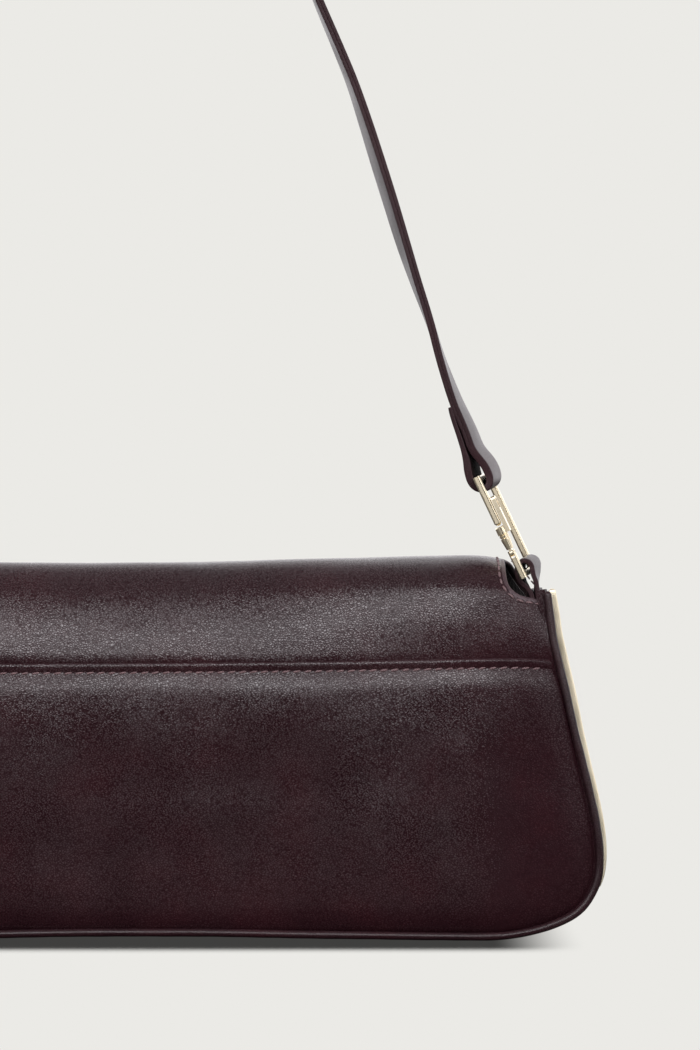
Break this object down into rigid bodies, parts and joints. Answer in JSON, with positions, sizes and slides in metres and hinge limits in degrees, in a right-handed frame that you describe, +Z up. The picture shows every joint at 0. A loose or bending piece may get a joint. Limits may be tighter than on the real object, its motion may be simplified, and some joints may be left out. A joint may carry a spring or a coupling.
{
  "type": "baguette shoulder bag",
  "caption": "Baguette shoulder bag: fold-over flap with magnetic snap, piped leather body, back slip pocket, gold side bars and a strap on sprung-gate rings.",
  "frame": {"origin": "on the floor under the middle of the base", "axes": "+Z up, +X along the length of the bag, +Y towards the front flap, -Y towards the back slip pocket"},
  "size_m": [0.3202, 0.0598, 0.3744],
  "materials": {
    "leather": "pebbled oxblood calf leather, satin",
    "piping_leather": "smooth oxblood leather over cord",
    "lining": "woven taupe cotton twill",
    "board": "pressed fibre board",
    "gold": "polished pale gold plating",
    "steel": "plain spring steel"
  },
  "bodies": {
    "body": {"back_pocket_panel": "leather", "back_panel": "leather", "upper_back_panel": "leather", "front_panel": "leather", "base_panel": "leather", "gusset_left": "leather", "gusset_right": "leather", "base_board": "board", "piping_back": "piping_leather", "piping_front": "piping_leather", "lining_back": "lining", "lining_front": "lining", "lining_gusset": "lining", "inner_pocket": "lining", "snap_socket": "gold", "snap_socket_washer": "steel", "side_bar_left": "gold", "side_bar_right": "gold", "bar_rivets_left": "steel", "bar_rivets_right": "steel", "tab_anchor_left": "piping_leather", "tab_anchor_right": "piping_leather"},
    "flap_top": {"flap_top": "leather", "flap_top_lining": "lining"},
    "flap_front": {"flap_front": "leather", "flap_front_lining": "lining", "snap_stud": "gold", "snap_stud_washer": "steel"},
    "strap": {"tab_left": "leather", "tab_right": "leather", "ring_left": "gold", "ring_right": "gold", "gate_pin_left": "steel", "gate_pin_right": "steel", "strap_outer": "leather", "strap_inner": "leather", "strap_end_left": "leather", "strap_end_right": "leather"},
    "gate_left": {"gate_left": "gold", "gate_spring_left": "steel"},
    "gate_right": {"gate_right": "gold", "gate_spring_right": "steel"}
  },
  "joints": [
    {"name": "flap_lift", "type": "hinge", "parent": "body", "child": "flap_top", "pos_m": [0, -0.0213, 0.121], "axis": [1, 0, 0], "range_deg": [0, 28]},
    {"name": "flap_fold", "type": "hinge", "parent": "flap_top", "child": "flap_front", "pos_m": [0, 0.0292, 0.121], "axis": [1, 0, 0], "range_deg": [0, 110]},
    {"name": "strap_swing", "type": "hinge", "parent": "body", "child": "strap", "pos_m": [0, 0, 0.121], "axis": [1, 0, 0], "range_deg": [-45, 50]},
    {"name": "gate_left_open", "type": "hinge", "parent": "strap", "child": "gate_left", "pos_m": [-0.1279, -0.01034, 0.1337], "axis": [-0.882, -0.2198, 0.4169], "range_deg": [0, 22], "stiffness_Nm_per_rad": 0.002, "springref_deg": -11.46},
    {"name": "gate_right_open", "type": "hinge", "parent": "strap", "child": "gate_right", "pos_m": [0.1279, -0.01034, 0.1337], "axis": [-0.882, 0.2198, -0.4169], "range_deg": [0, 22], "stiffness_Nm_per_rad": 0.002, "springref_deg": -11.46}
  ]
}
